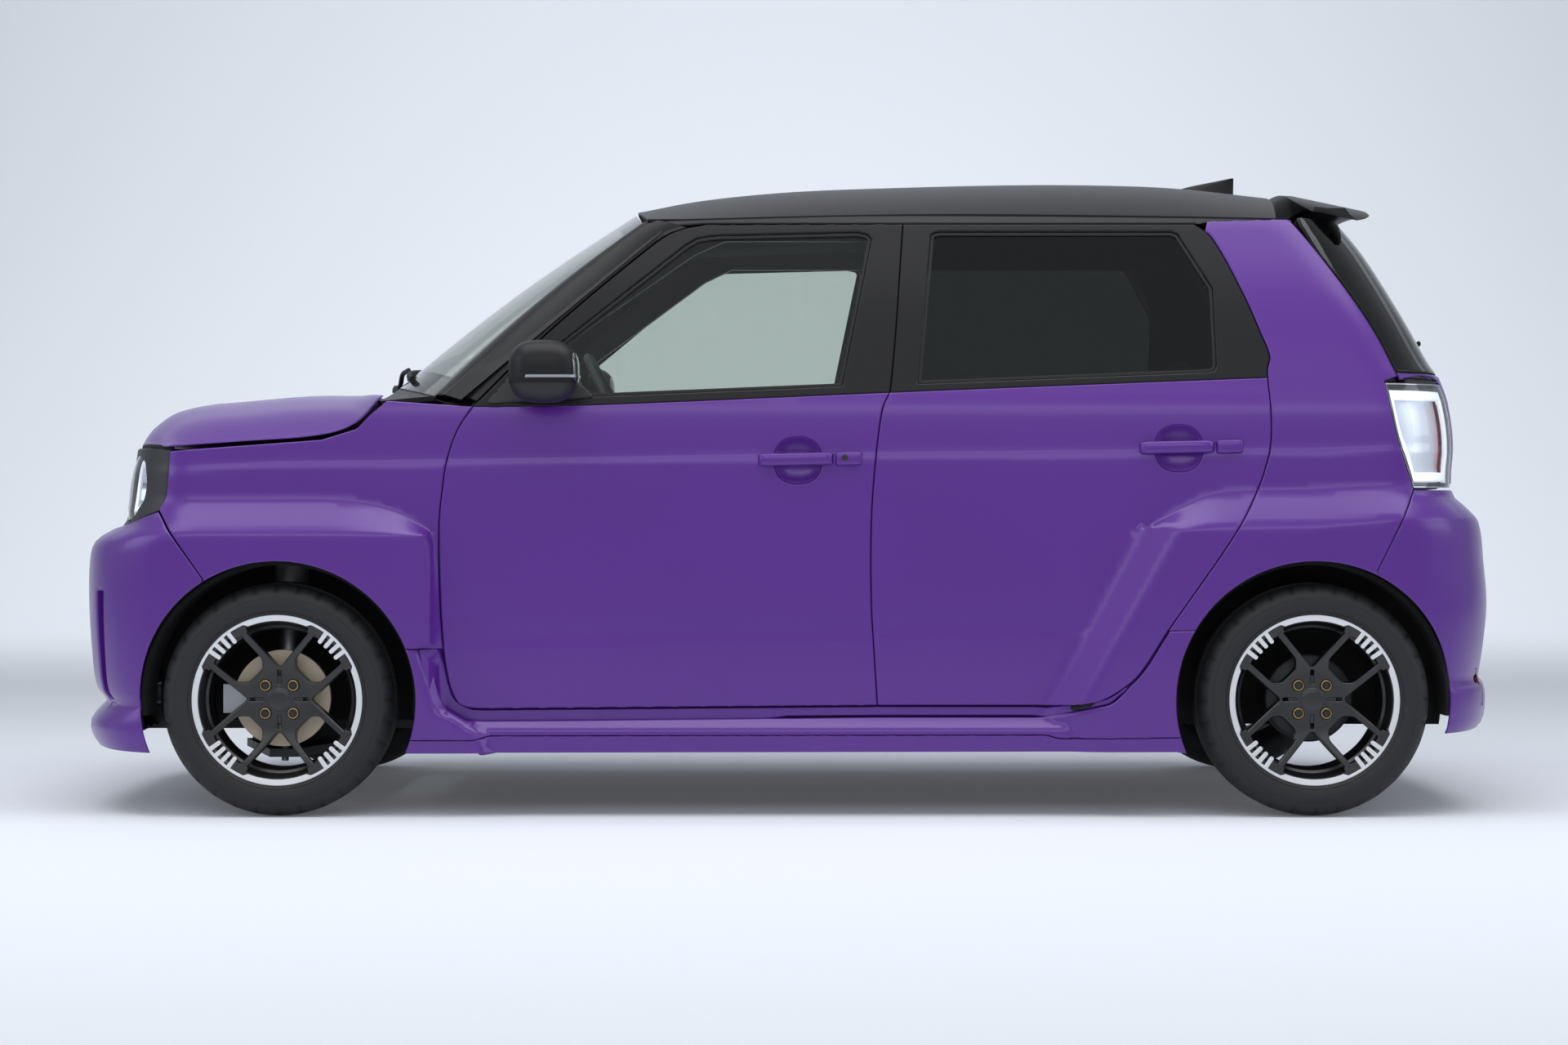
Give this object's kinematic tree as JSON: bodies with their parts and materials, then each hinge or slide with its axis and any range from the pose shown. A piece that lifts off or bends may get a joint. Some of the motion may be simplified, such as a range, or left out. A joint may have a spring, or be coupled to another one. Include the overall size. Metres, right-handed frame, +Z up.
{
  "type": "compact hatchback",
  "caption": "Small tall hatchback with two-tone body, flared arches, opening doors, bonnet and tailgate, steered front wheels and furnished cabin.",
  "frame": {"origin": "on the ground under the middle of the car's length and width", "axes": "+X towards the tail, -X the nose, -Y the left side, +Z up"},
  "size_m": [3.58, 1.779, 1.6248],
  "materials": {
    "purple_paint": "satin clearcoat paint",
    "black_paint": "satin black paint",
    "black_plastic": "moulded grain",
    "interior": "moulded grain",
    "seat_fabric": "woven",
    "clear_glass": "polished",
    "tint_glass": "polished",
    "lamp": "clear moulded",
    "steel": "painted and machined",
    "aluminium": "cast",
    "alloy": "satin black alloy",
    "tyre": "moulded rubber",
    "disc": "machined",
    "leather": "wrapped"
  },
  "bodies": {
    "shell": {"floor_pan": "steel", "battery_pack": "aluminium", "drive_unit": "aluminium", "dashboard": "interior", "front_fenders": "purple_paint", "front_bumper": "purple_paint", "lamp_panel": "black_plastic", "headlamps": "lamp", "side_frames": "black_paint", "quarters": "purple_paint", "roof": "black_paint", "antenna_fin": "black_plastic", "windscreen": "clear_glass", "cowl": "black_plastic", "rear_bumper": "purple_paint", "side_skirts": "purple_paint", "rear_lamps": "lamp", "seats": "seat_fabric", "front_subframe": "steel", "rear_axle_beam": "steel", "arch_liners": "black_plastic"},
    "bonnet": {"bonnet": "purple_paint"},
    "tailgate": {"tailgate": "purple_paint", "tailgate_glass": "tint_glass", "spoiler": "black_paint"},
    "door_front_left": {"door_fl": "purple_paint", "glass_fl": "clear_glass", "mirror_l": "black_plastic"},
    "door_front_right": {"door_fr": "purple_paint", "glass_fr": "clear_glass", "mirror_r": "black_plastic"},
    "door_rear_left": {"door_rl": "purple_paint", "glass_rl": "tint_glass"},
    "door_rear_right": {"door_rr": "purple_paint", "glass_rr": "tint_glass"},
    "steering_wheel": {"steering_wheel": "leather"},
    "knuckle_left": {"knuckle_l": "steel"},
    "knuckle_right": {"knuckle_r": "steel"},
    "wheel_front_left": {"rim_fl": "alloy", "tyre_fl": "tyre", "disc_l": "disc"},
    "wheel_front_right": {"rim_fr": "alloy", "tyre_fr": "tyre", "disc_r": "disc"},
    "wheel_rear_left": {"rim_rl": "alloy", "tyre_rl": "tyre"},
    "wheel_rear_right": {"rim_rr": "alloy", "tyre_rr": "tyre"}
  },
  "joints": [
    {"name": "steer_left", "type": "hinge", "parent": "shell", "child": "knuckle_left", "pos_m": [-1.24, -0.625, 0.165], "axis": [0, 0.2178, 0.976], "range_deg": [-34, 34]},
    {"name": "steer_right", "type": "hinge", "parent": "shell", "child": "knuckle_right", "pos_m": [-1.24, 0.625, 0.165], "axis": [0, -0.2178, 0.976], "range_deg": [-34, 34]},
    {"name": "steering_wheel_turn", "type": "hinge", "parent": "shell", "child": "steering_wheel", "pos_m": [-0.47, 0.33, 1.0098], "axis": [0.8829, 0, 0.4695], "range_deg": [-540, 540]},
    {"name": "spin_front_left", "type": "hinge", "parent": "knuckle_left", "child": "wheel_front_left", "pos_m": [-1.24, -0.6795, 0.284], "axis": [0, -1, 0], "continuous": true},
    {"name": "spin_front_right", "type": "hinge", "parent": "knuckle_right", "child": "wheel_front_right", "pos_m": [-1.24, 0.6795, 0.284], "axis": [0, -1, 0], "continuous": true},
    {"name": "spin_rear_left", "type": "hinge", "parent": "shell", "child": "wheel_rear_left", "pos_m": [1.28, -0.6795, 0.284], "axis": [0, -1, 0], "continuous": true},
    {"name": "spin_rear_right", "type": "hinge", "parent": "shell", "child": "wheel_rear_right", "pos_m": [1.28, 0.6795, 0.284], "axis": [0, -1, 0], "continuous": true},
    {"name": "door_front_left_hinge", "type": "hinge", "parent": "shell", "child": "door_front_left", "pos_m": [-0.85, -0.746, 0.62], "axis": [0, 0, -1], "range_deg": [0, 68]},
    {"name": "door_rear_left_hinge", "type": "hinge", "parent": "shell", "child": "door_rear_left", "pos_m": [0.2095, -0.742, 0.4], "axis": [0, 0, -1], "range_deg": [0, 68]},
    {"name": "door_front_right_hinge", "type": "hinge", "parent": "shell", "child": "door_front_right", "pos_m": [-0.85, 0.746, 0.62], "axis": [0, 0, 1], "range_deg": [0, 68]},
    {"name": "door_rear_right_hinge", "type": "hinge", "parent": "shell", "child": "door_rear_right", "pos_m": [0.2095, 0.742, 0.4], "axis": [0, 0, 1], "range_deg": [0, 68]},
    {"name": "bonnet_hinge", "type": "hinge", "parent": "shell", "child": "bonnet", "pos_m": [-0.98, 0, 1.062], "axis": [0, 1, 0], "range_deg": [0, 50]},
    {"name": "tailgate_hinge", "type": "hinge", "parent": "shell", "child": "tailgate", "pos_m": [1.262, 0, 1.58], "axis": [0, -1, 0], "range_deg": [0, 75]}
  ],
  "couplings": [
    {"joint": "steer_right", "follows": "steer_left", "ratio": 1},
    {"joint": "steering_wheel_turn", "follows": "steer_left", "ratio": 15}
  ]
}
